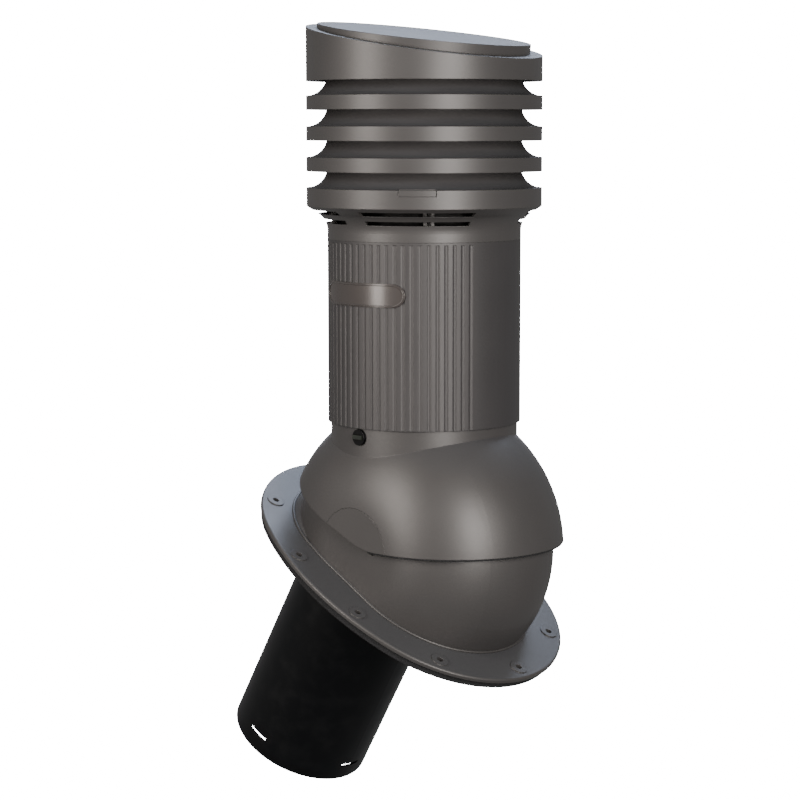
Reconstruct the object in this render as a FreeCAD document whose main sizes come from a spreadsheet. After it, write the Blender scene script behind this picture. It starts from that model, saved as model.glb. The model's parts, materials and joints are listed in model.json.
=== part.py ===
import FreeCAD, Part
import os
import re
import Sketcher

# Roof vent stack: an insulated exhaust outlet for a pitched roof.
# A flanged bowl is fixed to the roof. A hood tilts on it about a level axis, so that the column stands upright.
# The frame: +Z is up, the roof falls towards +X, and the tilt axis lies along Y. The origin is the point where
# the axis of the lower duct passes through the underside of the roof gasket.
# The roof pieces are drawn square to the roof, in a frame that is turned about Y by the roof pitch.
# The column pieces are drawn upright, from the centre of the tilt axis.

os.makedirs("parts", exist_ok=True)
doc = FreeCAD.newDocument("RoofVentStack")
sheet = doc.addObject("Spreadsheet::Sheet", "Sheet")

# Driving dimensions, in millimetres and degrees
SIZES = {
    "roof_pitch": 30,
    "pivot_height": 45,
    "duct_offset": 41,
    "flange_shift": 2,
    "running_gap": 0.3,
    "duct_radius": 75,
    "duct_wall": 2.5,
    "duct_reach": 249,
    "duct_end_relief": 1,
    "shoulder_gap": 1,
    "end_slot_width": 25,
    "end_slot_height": 3.5,
    "end_slot_inset": 18.5,
    "gasket_thickness": 8.5,
    "gasket_inset": 3.5,
    "flange_thickness": 4.5,
    "flange_margin": 32.5,
    "lip_radius": 2,
    "foot_half_length": 149.5,
    "foot_half_width": 110,
    "foot_end_radius": 101,
    "skirt_shift": 5.2,
    "skirt_half_length": 143.3,
    "skirt_half_width": 98.5,
    "skirt_end_radius": 98,
    "skirt_wall_radius": 40,
    "skirt_rise": 28,
    "skirt_fill": 16,
    "step_inset": 11,
    "ledge_thickness": 5,
    "ledge_reach": 25.5,
    "seat_inset": 14,
    "roof_hole_radius": 3.25,
    "roof_hole_margin": 17.8,
    "roof_hole_end_angle": 45,
    "roof_hole_side_angle": 10.7,
    "roof_boss_radius": 9,
    "roof_boss_height": 1,
    "hood_radius": 152,
    "crown_radius": 115,
    "crown_angle": 27,
    "shoulder_radius": 106,
    "hood_wall": 3,
    "bowl_step": 10.4,
    "bowl_wall": 3,
    "bowl_front_angle": 17,
    "bowl_back_angle": 45,
    "rim_front_height": 8.7,
    "rim_corner_out": 16,
    "rim_back_angle": 25,
    "rim_bend_radius": 80,
    "neck_clearance": 0.2,
    "neck_top": 150,
    "deck_thickness": 3,
    "cover_radius": 44,
    "cover_x": 4,
    "cover_z": 6.5,
    "cover_recess": 6,
    "clamp_pad_margin": 4,
    "clamp_hole_out": 34,
    "clamp_hole_angle": 47,
    "clamp_bolt_radius": 3,
    "clamp_head_radius": 5.5,
    "clamp_head_height": 3.5,
    "clamp_slot_angle": 16.5,
    "nut_half": 8,
    "nut_height": 5,
    "arm_outer_face": 86.5,
    "arm_thickness": 4.5,
    "arm_half_width": 16,
    "arm_root_bottom": 92,
    "arm_top": 108,
    "pivot_boss_radius": 12,
    "pivot_bolt_radius": 4,
    "bolt_head_radius": 8,
    "bolt_head_height": 4,
    "bolt_bite": 9,
    "shell_radius": 98,
    "shell_bottom": 128.5,
    "shell_length": 185,
    "shell_wall": 2.8,
    "shell_shoulder": 1.2,
    "flute_count": 29,
    "flute_span": 140,
    "flute_width": 4.2,
    "flute_depth": 0.8,
    "flute_end": 2.5,
    "seal_height": 1.5,
    "seal_width": 2.6,
    "insulation_clearance": 0.4,
    "duct_top": 372,
    "elbow_tangent": 45,
    "elbow_sleeve": 14,
    "elbow_wall": 1.8,
    "elbow_ridge": 2,
    "elbow_ridge_count": 9,
    "elbow_ridge_angle": 1.4,
    "clamp_width": 9,
    "clamp_thickness": 1.2,
    "clamp_block": 8,
    "clamp_screw_radius": 2.5,
    "clamp_screw_length": 24,
    "plate_radius_offset": 1.2,
    "plate_rise": 133.2,
    "name_plate_half_width": 51.5,
    "name_plate_half_height": 11.7,
    "level_height": 119.5,
    "level_radius": 8.2,
    "level_proud": 2.5,
    "level_depth": 6.5,
    "vial_radius": 2.6,
    "vial_length": 12,
    "band_radius": 119,
    "band_wall": 3,
    "band_height": 14.2,
    "band_pitch": 30.6,
    "flare_wall": 2.5,
    "flare_upstand": 3,
    "collar_straight": 8.5,
    "collar_sweep": 20,
    "collar_rise": 18,
    "collar_out": 11.3,
    "base_band_rise": 6.6,
    "slot_rise": 17,
    "base_band_height": 18.4,
    "spigot_depth": 11,
    "spigot_wall": 2.5,
    "slot_height": 4,
    "slot_spacing": 9.1,
    "slot_angle": 61,
    "slot_pillar_angle": 15,
    "latch_angle": 18,
    "latch_turn": 39,
    "latch_height": 6,
    "latch_depth": 6,
    "latch_gap": 0.4,
    "tie_inset": 6.5,
    "tie_boss_radius": 5.5,
    "tie_hole_radius": 2.1,
    "tie_screw_radius": 2,
    "tie_head_radius": 3.6,
    "tie_head_height": 2.5,
    "tie_screw_bite": 14,
    "cap_gap": 14.4,
    "cap_axis_height": 40.5,
    "cap_slope": 9.5,
    "cap_plate": 3,
    "lid_margin": 11.1,
    "lid_axis_height": 47.4,
    "lid_slope": 7.7,
    "lid_depth": 18,
    "lid_wall": 2.5,
    "socket_wall": 4,
    "socket_height": 27,
    "collar_length": 18,
    "collar_taper": 2,
    "seal_groove_height": 6,
    "seal_groove_depth": 2,
    "seal_groove_inset": 6,
    "plate_screw_radius": 2,
    "plate_screw_head": 4,
    "plate_screw_head_depth": 2.4,
    "plate_screw_margin": 19.5,
    "plate_screw_angle": 38,
}


def oval_sizes(name):
    """Arc centres and side radius of a four-arc oval, from its half length, half width and end radius."""
    end, side, along = f"{name}_end_radius", f"{name}_side_radius", f"{name}_end_centre"
    return {
        along: f"{name}_half_length - {end}",
        side: f"({along} ^ 2 + {name}_half_width ^ 2 - {end} ^ 2) / (2 * ({name}_half_width - {end}))",
        f"{name}_side_centre": f"{side} - {name}_half_width",
        f"{name}_out": f"{along} / ({side} - {end})",
        f"{name}_up": f"{name}_side_centre / ({side} - {end})",
    }


# Sizes that follow from the driving ones
DERIVED = {
    "pivot_x": "duct_offset * cos(roof_pitch) + pivot_height * sin(roof_pitch)",
    "pivot_z": "pivot_height * cos(roof_pitch) - duct_offset * sin(roof_pitch)",
    "oval_centre": "duct_offset - flange_shift",
    "skirt_centre": "oval_centre - skirt_shift",
    "skirt_lean": "skirt_wall_radius - sqrt(skirt_wall_radius ^ 2 - skirt_rise ^ 2)",
    "flange_top": "gasket_thickness + flange_thickness",
    "wall_foot": "(gasket_thickness + flange_top) / 2",
    "ledge_top": "flange_top + ledge_thickness",
    **oval_sizes("foot"),
    **oval_sizes("skirt"),
    "crown_centre": "hood_radius - crown_radius",
    "shoulder_centre_out": "crown_centre + (crown_radius - shoulder_radius) * cos(crown_angle)",
    "shoulder_centre_side": "(crown_radius - shoulder_radius) * sin(crown_angle)",
    "side_half": "shoulder_centre_side + shoulder_radius",
    "bowl_radius": "hood_radius - bowl_step",
    "bowl_side": "side_half - bowl_step",
    "bowl_front_out": "bowl_radius * cos(bowl_front_angle)",
    "bowl_front_up": "bowl_radius * sin(bowl_front_angle)",
    "bowl_back_out": "bowl_radius * cos(bowl_back_angle)",
    "bowl_back_up": "bowl_radius * sin(bowl_back_angle)",
    "bowl_edge_slope": "(bowl_back_up - bowl_front_up) / (bowl_back_out + bowl_front_out)",
    "recess_floor": "side_half - cover_recess",
    "pad_face": "bowl_side + running_gap",
    "clamp_x": "clamp_hole_out * sin(clamp_hole_angle)",
    "clamp_z": "clamp_hole_out * cos(clamp_hole_angle)",
    "arm_inner_face": "arm_outer_face - arm_thickness",
    "bolt_tip": "arm_outer_face + running_gap + bolt_bite",
    "duct_hole_radius": "duct_radius + running_gap",
    "shell_top": "shell_bottom + shell_length",
    "shell_bore": "shell_radius - shell_wall",
    "shoulder_bore": "shell_bore - shell_shoulder",
    "neck_radius": "shell_bore - neck_clearance",
    "bore_radius": "neck_radius - hood_wall",
    "insulation_radius": "shoulder_bore - running_gap - spigot_wall - insulation_clearance",
    "shoulder_height": "neck_top + seal_height",
    "flute_arc": "((flute_width / 2) ^ 2 + flute_depth ^ 2) / (2 * flute_depth)",
    "knee_height": "duct_offset / sin(roof_pitch)",
    "duct_bottom": "knee_height + elbow_tangent",
    "lower_duct_top": "pivot_height + knee_height * cos(roof_pitch) - elbow_tangent",
    "collar_foot": "shell_top + collar_straight",
    "collar_top": "collar_foot + collar_rise",
    "collar_top_out": "shell_radius + collar_out",
    "base_band_bottom": "collar_top + base_band_rise",
    "base_band_top": "base_band_bottom + base_band_height",
    "flare_radius": "shell_radius",
    "flare_rise": "band_radius - flare_radius",
    "louvre_step": "band_height + flare_rise + flare_upstand",
    "inner_rise": "sqrt((flare_rise + flare_wall) ^ 2 - band_wall ^ 2)",
    "lowest_band": "base_band_top + band_pitch - band_height",
    "cap_bottom": "lowest_band + 2 * band_pitch + band_height + cap_gap",
    "cap_boss_bottom": "lowest_band + 2 * band_pitch + louvre_step",
    "cap_top": "cap_bottom + cap_axis_height",
    "lid_top": "cap_bottom + lid_axis_height",
    "tie_radius": "flare_radius - tie_inset",
    "tie_arm": "tie_radius * cos(45)",
    "lid_radius": "band_radius - lid_margin",
    "tie_screw_top": "cap_boss_bottom + tie_screw_bite",
    "elbow_bend": "elbow_tangent / tan(roof_pitch / 2)",
    "duct_end_radius": "duct_radius - duct_end_relief",
    "elbow_inside": "duct_radius + 2 * running_gap / 3",
    "elbow_outside": "elbow_inside + elbow_wall",
    "socket_bore": "duct_end_radius + running_gap",
    "socket_outside": "socket_bore + socket_wall",
}


def fill_sheet():
    """Writes the driving sizes as plain numbers, then the ones that follow from them as formulas."""
    for row, (name, number) in enumerate(SIZES.items(), start=1):
        sheet.set(f"A{row}", name.replace("_", " "))
        sheet.set(f"B{row}", str(number))
        sheet.setAlias(f"B{row}", name)
    for row, (name, formula) in enumerate(DERIVED.items(), start=len(SIZES) + 2):
        sheet.set(f"A{row}", name.replace("_", " "))
        sheet.set(f"B{row}", "=" + formula)
        sheet.setAlias(f"B{row}", name)
    doc.recompute()


fill_sheet()
nodes = []


def bound(size):
    """Turns the sheet's names in a formula into references to its cells."""
    words = set(SIZES) | set(DERIVED)
    return re.sub(r"[a-z_]+", lambda word: f"Sheet.{word[0]}" if word[0] in words else word[0], size)


def value(size):
    return float(sheet.evalExpression(size))


def keep(thing):
    """Marks an object as one of the sub-parts."""
    nodes.append(thing)
    return thing


def place(thing, frame):
    """Stands an object on the roof, on the tilt axis or at the origin, and ties its place to the sheet."""
    if frame == "roof":
        thing.Placement = FreeCAD.Placement(FreeCAD.Vector(0, 0, 0),
                                            FreeCAD.Rotation(FreeCAD.Vector(0, 1, 0), value("roof_pitch")))
        thing.setExpression(".Placement.Rotation.Angle", bound("roof_pitch"))
    if frame == "column":
        thing.Placement = FreeCAD.Placement(FreeCAD.Vector(value("pivot_x"), 0, value("pivot_z")),
                                            FreeCAD.Rotation())
        thing.setExpression(".Placement.Base.x", bound("pivot_x"))
        thing.setExpression(".Placement.Base.z", bound("pivot_z"))


def new_body(label, frame):
    body = doc.addObject("PartDesign::Body", label)
    body.Label = label
    place(body, frame)
    return keep(body)


def new_sketch(body, name, plane, at=("0", "0", "0"), axis=(0, 0, 1), turn="0"):
    """Attaches a sketch to one of the body's own planes, moved and turned in that plane's axes."""
    sketch = body.newObject("Sketcher::SketchObject", name)
    origin = next(item for item in body.Origin.OriginFeatures if item.Role == plane)
    sketch.AttachmentSupport = (origin, [""])
    sketch.MapMode = "FlatFace"
    sketch.AttachmentOffset = FreeCAD.Placement(FreeCAD.Vector(*[value(size) for size in at]),
                                                FreeCAD.Rotation(FreeCAD.Vector(*axis), value(turn)))
    for side, size in zip("xyz", at):
        if size != "0":
            sketch.setExpression(f".AttachmentOffset.Base.{side}", bound(size))
    if turn != "0":
        sketch.setExpression(".AttachmentOffset.Rotation.Angle", bound(turn))
    return sketch


def tie(sketch, kind, where, size):
    """Adds one dimension to a sketch and ties it to the sheet."""
    number = sketch.addConstraint(Sketcher.Constraint(kind, *where, value(size)))
    sketch.setExpression(f"Constraints[{number}]", bound(size))


def circle(sketch, x, y, radius):
    centre = FreeCAD.Vector(value(x), value(y), 0)
    number = sketch.addGeometry(Part.Circle(centre, FreeCAD.Vector(0, 0, 1), value(radius)))
    tie(sketch, "DistanceX", (-1, 1, number, 3), x)
    tie(sketch, "DistanceY", (-1, 1, number, 3), y)
    tie(sketch, "Radius", (number,), radius)


def arc_between(first, last, radius, turn):
    """An arc of less than half a circle. A turn of 1 bends to the left of the way from first to last."""
    chord = last - first
    middle = (first + last) * 0.5
    left = FreeCAD.Vector(-chord.y, chord.x, 0).normalize()
    height = max(radius * radius - chord.Length * chord.Length / 4, 0) ** 0.5
    centre = middle + left * (height * turn)
    whole = Part.Circle(centre, FreeCAD.Vector(0, 0, 1), radius)
    start, end = (first, last) if turn > 0 else (last, first)
    return Part.ArcOfCircle(whole, whole.parameter(start), whole.parameter(end))


def outline(sketch, corners):
    """Draws a closed outline. A corner is (x, y), or (x, y, radius, turn) where an arc leads on from it."""
    points = [FreeCAD.Vector(value(corner[0]), value(corner[1]), 0) for corner in corners]
    first_end, last_end, numbers = [], [], []
    for index, corner in enumerate(corners):
        here, there = points[index], points[(index + 1) % len(corners)]
        if len(corner) == 2:
            numbers.append(sketch.addGeometry(Part.LineSegment(here, there)))
        else:
            numbers.append(sketch.addGeometry(arc_between(here, there, value(corner[2]), corner[3])))
        backwards = len(corner) == 4 and corner[3] < 0
        first_end.append(2 if backwards else 1)
        last_end.append(1 if backwards else 2)
    for index, corner in enumerate(corners):
        following = (index + 1) % len(corners)
        sketch.addConstraint(Sketcher.Constraint("Coincident", numbers[index], last_end[index],
                                                 numbers[following], first_end[following]))
        tie(sketch, "DistanceX", (-1, 1, numbers[index], first_end[index]), corner[0])
        tie(sketch, "DistanceY", (-1, 1, numbers[index], first_end[index]), corner[1])
        if len(corner) == 4:
            tie(sketch, "Radius", (numbers[index],), corner[2])


def rectangle(sketch, left, right, bottom, top):
    outline(sketch, [(left, bottom), (right, bottom), (right, top), (left, top)])


def oval(sketch, margin, name="foot"):
    """A four-arc oval, the foot's or the skirt's, moved outwards by a margin."""
    end, side = f"({name}_end_radius + {margin})", f"({name}_side_radius + {margin})"
    x, y = f"({name}_end_centre + {end} * {name}_out)", f"({end} * {name}_up)"
    outline(sketch, [(x, f"-{y}", end, 1), (x, y, side, 1), (f"-{x}", y, end, 1), (f"-{x}", f"-{y}", side, 1)])


def turn_about(body, kind, sketch, angle="360", middle=True):
    """Adds or cuts a shape turned about its sketch's upright axis, to both sides of the sketch if middle is set."""
    feature = body.newObject(kind, sketch.Name + "Turn")
    feature.Profile = sketch
    feature.ReferenceAxis = (sketch, ["V_Axis"])
    feature.Angle = value(angle)
    feature.setExpression("Angle", bound(angle))
    feature.Midplane = middle and angle != "360"
    sketch.Visibility = False
    return feature


def extrude(body, kind, sketch, length, backwards=False, both=False):
    """Adds or cuts a straight shape from a sketch."""
    feature = body.newObject(kind, sketch.Name + "Run")
    feature.Profile = sketch
    feature.Length = value(length)
    feature.setExpression("Length", bound(length))
    feature.Reversed = backwards
    feature.SideType = "Symmetric" if both else "One side"
    sketch.Visibility = False
    return feature


ADD_TURN, CUT_TURN = "PartDesign::Revolution", "PartDesign::Groove"
ADD_RUN, CUT_RUN = "PartDesign::Pad", "PartDesign::Pocket"


def turned_ring(label, frame, inside, outside, bottom, top):
    body = new_body(label, frame)
    sketch = new_sketch(body, label + "Section", "XZ_Plane")
    rectangle(sketch, inside, outside, bottom, top)
    turn_about(body, ADD_TURN, sketch)
    return body


def barrel(body, name, step, kind, at=("0", "0", "0")):
    """A barrel about the tilt axis, stepped in from the hood's outer surface."""
    sketch = new_sketch(body, name, "XY_Plane", at)
    crown, shoulder = f"(crown_radius - {step})", f"(shoulder_radius - {step})"
    joint_x, joint_y = f"(crown_centre + {crown} * cos(crown_angle))", f"({crown} * sin(crown_angle))"
    side = f"(side_half - {step})"
    outline(sketch, [("0", f"-{side}"), ("shoulder_centre_out", f"-{side}", shoulder, 1),
                     (joint_x, f"-{joint_y}", crown, 1), (joint_x, joint_y, shoulder, 1),
                     ("shoulder_centre_out", side), ("0", side)])
    return turn_about(body, kind, sketch)


def side_discs(body, name, kind, radius, inner, outer, at=("0", "0", "0"), bore="0"):
    """A round boss or recess about the tilt axis on both sides of the part."""
    sketch = new_sketch(body, name, "XY_Plane", at)
    rectangle(sketch, bore, radius, inner, outer)
    rectangle(sketch, bore, radius, f"-{outer}", f"-{inner}")
    return turn_about(body, kind, sketch)


def roof_holes():
    """The ten screw holes of the flange, evenly spread along an oval, in the oval's own axes."""
    end, side = "(foot_end_radius + roof_hole_margin)", "(foot_side_radius + roof_hole_margin)"
    places = [(f"{along}(foot_end_centre + {end})", "0") for along in ("", "-")]
    for along in ("", "-"):
        for across in ("", "-"):
            places.append((f"{along}(foot_end_centre + {end} * cos(roof_hole_end_angle))",
                           f"{across}({end} * sin(roof_hole_end_angle))"))
            places.append((f"{along}({side} * sin(roof_hole_side_angle))",
                           f"{across}({side} * cos(roof_hole_side_angle) - foot_side_centre)"))
    return places


def plate_screw_places():
    """The six screws of the duct plate: two at each end of the oval and one at each side."""
    end, side = "(foot_end_radius - plate_screw_margin)", "(foot_half_width - plate_screw_margin)"
    places = [("0", side), ("0", f"-{side}")]
    for along in ("", "-"):
        for across in ("", "-"):
            places.append((f"{along}(foot_end_centre + {end} * cos(plate_screw_angle))",
                           f"{across}({end} * sin(plate_screw_angle))"))
    return places


def tie_places():
    return [(f"{across}tie_arm", f"{along}tie_arm") for across in ("", "-") for along in ("", "-")]


OVAL_FLOOR = ("oval_centre", "0", "0")
OVAL_SEAT = ("oval_centre", "0", "gasket_thickness")
AT_PIVOT = ("duct_offset", "0", "pivot_height")
FAR = "2 * hood_radius"


def oval_ring(body, name, section, path):
    """Runs a section once round an oval."""
    ring = body.newObject("PartDesign::AdditivePipe", name)
    ring.Profile = section
    ring.Spine = (path, [f"Edge{number}" for number in range(1, 5)])
    ring.Mode = "Frenet"
    ring.Transition = "Round corner"


def make_roof_base():
    """Flange and bowl in one moulding. The bowl is a barrel about the tilt axis, open above and below,
    and its skirt stands out from it towards the ridge of the roof."""
    body = new_body("roof_base", "roof")
    barrel(body, "BowlOutside", "bowl_step", ADD_TURN, AT_PIVOT)
    skirt_path = new_sketch(body, "SkirtPath", "XY_Plane", ("skirt_centre", "0", "0"))
    oval(skirt_path, "0", "skirt")
    skirt = new_sketch(body, "SkirtSection", "XZ_Plane", ("skirt_centre + skirt_half_length", "0", "0"))
    outline(skirt, [("0", "wall_foot"), ("0", "flange_top", "skirt_wall_radius", -1),
                    ("-skirt_lean", "flange_top + skirt_rise"), ("-skirt_fill", "flange_top + skirt_rise"),
                    ("-skirt_fill", "wall_foot")])
    oval_ring(body, "SkirtRing", skirt, skirt_path)
    barrel(body, "BowlInside", "(bowl_step + bowl_wall)", CUT_TURN, AT_PIVOT)
    edge = new_sketch(body, "BowlEdge", "XZ_Plane", ("duct_offset", "pivot_height", "0"), turn="roof_pitch")
    outline(edge, [(FAR, f"bowl_front_up + bowl_edge_slope * (bowl_front_out - {FAR})"), (FAR, FAR),
                   (f"-{FAR}", FAR), (f"-{FAR}", f"bowl_back_up + bowl_edge_slope * ({FAR} - bowl_back_out)")])
    extrude(body, CUT_RUN, edge, FAR, both=True)
    foot = new_sketch(body, "BowlFoot", "XZ_Plane", ("duct_offset", "0", "0"))
    rectangle(foot, f"-{FAR}", FAR, f"-{FAR}", "wall_foot")
    extrude(body, CUT_RUN, foot, FAR, both=True)
    path = new_sketch(body, "FootPath", "XY_Plane", OVAL_FLOOR)
    oval(path, "0")
    section = new_sketch(body, "FlangeSection", "XZ_Plane", ("oval_centre + foot_half_length", "0", "0"))
    outline(section, [("flange_margin", "gasket_thickness"),
                      ("flange_margin", "flange_top - lip_radius", "lip_radius", 1),
                      ("flange_margin - lip_radius", "flange_top"),
                      ("-step_inset", "flange_top"),
                      ("-step_inset", "ledge_top"),
                      ("-ledge_reach", "ledge_top"),
                      ("-ledge_reach", "flange_top"),
                      ("-seat_inset", "flange_top"),
                      ("-seat_inset", "gasket_thickness")])
    oval_ring(body, "FlangeRing", section, path)
    seat = new_sketch(body, "PlateSeat", "XY_Plane", OVAL_FLOOR)
    oval(seat, "-seat_inset")
    extrude(body, CUT_RUN, seat, "flange_top", backwards=True)
    bosses = new_sketch(body, "RoofBosses", "XY_Plane", OVAL_SEAT)
    holes = new_sketch(body, "RoofHoles", "XY_Plane", OVAL_SEAT)
    for x, y in roof_holes():
        circle(bosses, x, y, "roof_boss_radius")
        circle(holes, x, y, "roof_hole_radius")
    extrude(body, ADD_RUN, bosses, "flange_thickness + roof_boss_height")
    extrude(body, CUT_RUN, holes, "4 * flange_thickness", both=True)
    side_discs(body, "PivotBosses", ADD_TURN, "pivot_boss_radius", "(arm_outer_face + running_gap)",
               "(bowl_side - bowl_wall / 2)", AT_PIVOT)
    side_discs(body, "PivotHoles", CUT_TURN, "pivot_bolt_radius", "arm_outer_face", "bolt_tip", AT_PIVOT)
    slots = new_sketch(body, "ClampSlots", "XZ_Plane", ("duct_offset", "pivot_height", "0"),
                       turn="roof_pitch - clamp_hole_angle")
    near, far = "(clamp_hole_out - clamp_bolt_radius - running_gap)", "(clamp_hole_out + clamp_bolt_radius + running_gap)"
    outline(slots, [(f"{far} * sin(clamp_slot_angle)", f"{far} * cos(clamp_slot_angle)", far, 1),
                    (f"-{far} * sin(clamp_slot_angle)", f"{far} * cos(clamp_slot_angle)"),
                    (f"-{near} * sin(clamp_slot_angle)", f"{near} * cos(clamp_slot_angle)", near, -1),
                    (f"{near} * sin(clamp_slot_angle)", f"{near} * cos(clamp_slot_angle)")])
    extrude(body, CUT_RUN, slots, FAR, both=True)
    screw_holes = new_sketch(body, "PlateScrewHoles", "XY_Plane", OVAL_SEAT)
    for x, y in plate_screw_places():
        circle(screw_holes, x, y, "plate_screw_radius + running_gap / 6")
    extrude(body, CUT_RUN, screw_holes, "2 * (ledge_top - gasket_thickness) + ledge_thickness", both=True)


def make_roof_gasket():
    """Soft plate between flange and roof covering."""
    body = new_body("roof_gasket", "roof")
    sketch = new_sketch(body, "GasketOutline", "XY_Plane", OVAL_FLOOR)
    oval(sketch, "(flange_margin - gasket_inset)")
    circle(sketch, "-oval_centre", "0", "(socket_outside + running_gap)")
    for x, y in roof_holes():
        circle(sketch, x, y, "roof_hole_radius")
    extrude(body, ADD_RUN, sketch, "gasket_thickness")


def make_duct_plate():
    """Oval plate that closes the bowl from below, with a socket above and a tapered collar below."""
    body = new_body("duct_plate", "roof")
    plate = new_sketch(body, "PlateOutline", "XY_Plane", OVAL_SEAT)
    oval(plate, "(-seat_inset - running_gap)")
    extrude(body, ADD_RUN, plate, "flange_thickness")
    socket = new_sketch(body, "Socket", "XZ_Plane")
    outline(socket, [("0", "-collar_length"), ("socket_outside - collar_taper", "-collar_length"),
                     ("socket_outside", "0"), ("socket_outside", "gasket_thickness + socket_height"),
                     ("0", "gasket_thickness + socket_height")])
    turn_about(body, ADD_TURN, socket)
    bore = new_sketch(body, "SocketBore", "XZ_Plane")
    top = "(gasket_thickness + socket_height)"
    groove_top, groove_bottom = f"({top} - seal_groove_inset)", f"({top} - seal_groove_inset - seal_groove_height)"
    outline(bore, [("0", "-2 * collar_length"), ("socket_bore", "-2 * collar_length"),
                   ("socket_bore", groove_bottom),
                   ("socket_bore + seal_groove_depth", groove_bottom),
                   ("socket_bore + seal_groove_depth", groove_top), ("socket_bore", groove_top),
                   ("socket_bore", f"{top} + 1"), ("0", f"{top} + 1")])
    turn_about(body, CUT_TURN, bore)
    shanks = new_sketch(body, "ScrewShanks", "XY_Plane", OVAL_SEAT)
    heads = new_sketch(body, "ScrewHeads", "XY_Plane", OVAL_SEAT)
    for x, y in plate_screw_places():
        circle(shanks, x, y, "plate_screw_radius + running_gap / 6")
        circle(heads, x, y, "plate_screw_head + running_gap / 3")
    extrude(body, CUT_RUN, shanks, "4 * flange_thickness", both=True)
    extrude(body, CUT_RUN, heads, "2 * plate_screw_head_depth", both=True)
    seal = new_body("duct_seal", "roof")
    section = new_sketch(seal, "SealSection", "XZ_Plane")
    rectangle(section, "duct_end_radius + running_gap / 6", "socket_bore + seal_groove_depth", groove_bottom, groove_top)
    turn_about(seal, ADD_TURN, section)


def make_plate_screws():
    """Flat-headed screws that draw the duct plate up against the bowl's ledge."""
    for number, (x, y) in enumerate(plate_screw_places(), start=1):
        body = new_body(f"plate_screw_{number}", "roof")
        sketch = new_sketch(body, f"PlateScrew{number}", "XZ_Plane", (f"oval_centre + {x}", "0", f"-{y}"))
        outline(sketch, [("0", "gasket_thickness"), ("plate_screw_head", "gasket_thickness"),
                         ("plate_screw_head", "gasket_thickness + plate_screw_head_depth"),
                         ("plate_screw_radius", "gasket_thickness + plate_screw_head_depth"),
                         ("plate_screw_radius", "ledge_top - 1"), ("0", "ledge_top - 1")])
        turn_about(body, ADD_TURN, sketch)


def make_lower_duct():
    """Black pipe square to the roof. Its end above the collar is turned down a little."""
    body = new_body("lower_duct", "roof")
    wall = new_sketch(body, "LowerDuctWall", "XZ_Plane")
    shoulder = "-(collar_length + shoulder_gap)"
    outline(wall, [("duct_radius - duct_wall", "-duct_reach"), ("duct_radius", "-duct_reach"),
                   ("duct_radius", shoulder), ("duct_end_radius", shoulder), ("duct_end_radius", "lower_duct_top"),
                   ("duct_radius - duct_wall", "lower_duct_top")])
    turn_about(body, ADD_TURN, wall)
    for plane in ("XZ_Plane", "YZ_Plane"):
        slot = new_sketch(body, "EndSlots" + plane[:2], plane)
        centre = "(end_slot_inset - duct_reach)"
        rectangle(slot, "-end_slot_width / 2", "end_slot_width / 2", f"{centre} - end_slot_height / 2",
                  f"{centre} + end_slot_height / 2")
        extrude(body, CUT_RUN, slot, "4 * duct_radius", both=True)


def rim_cut(body, name):
    """Cuts away everything below the hood's rim line: level in front, rising towards the back."""
    rim = new_sketch(body, name, "XZ_Plane")
    bend = "(rim_bend_radius * tan(rim_back_angle / 2))"
    outline(rim, [(FAR, "rim_front_height"),
                  (f"rim_corner_out + {bend}", "rim_front_height", "rim_bend_radius", -1),
                  (f"rim_corner_out - {bend} * cos(rim_back_angle)",
                   f"rim_front_height + {bend} * sin(rim_back_angle)"),
                  (f"-{FAR}", f"rim_front_height + ({FAR} + rim_corner_out) * tan(rim_back_angle)"),
                  (f"-{FAR}", f"-{FAR}"), (FAR, f"-{FAR}")])
    extrude(body, CUT_RUN, rim, FAR, both=True)


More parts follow.
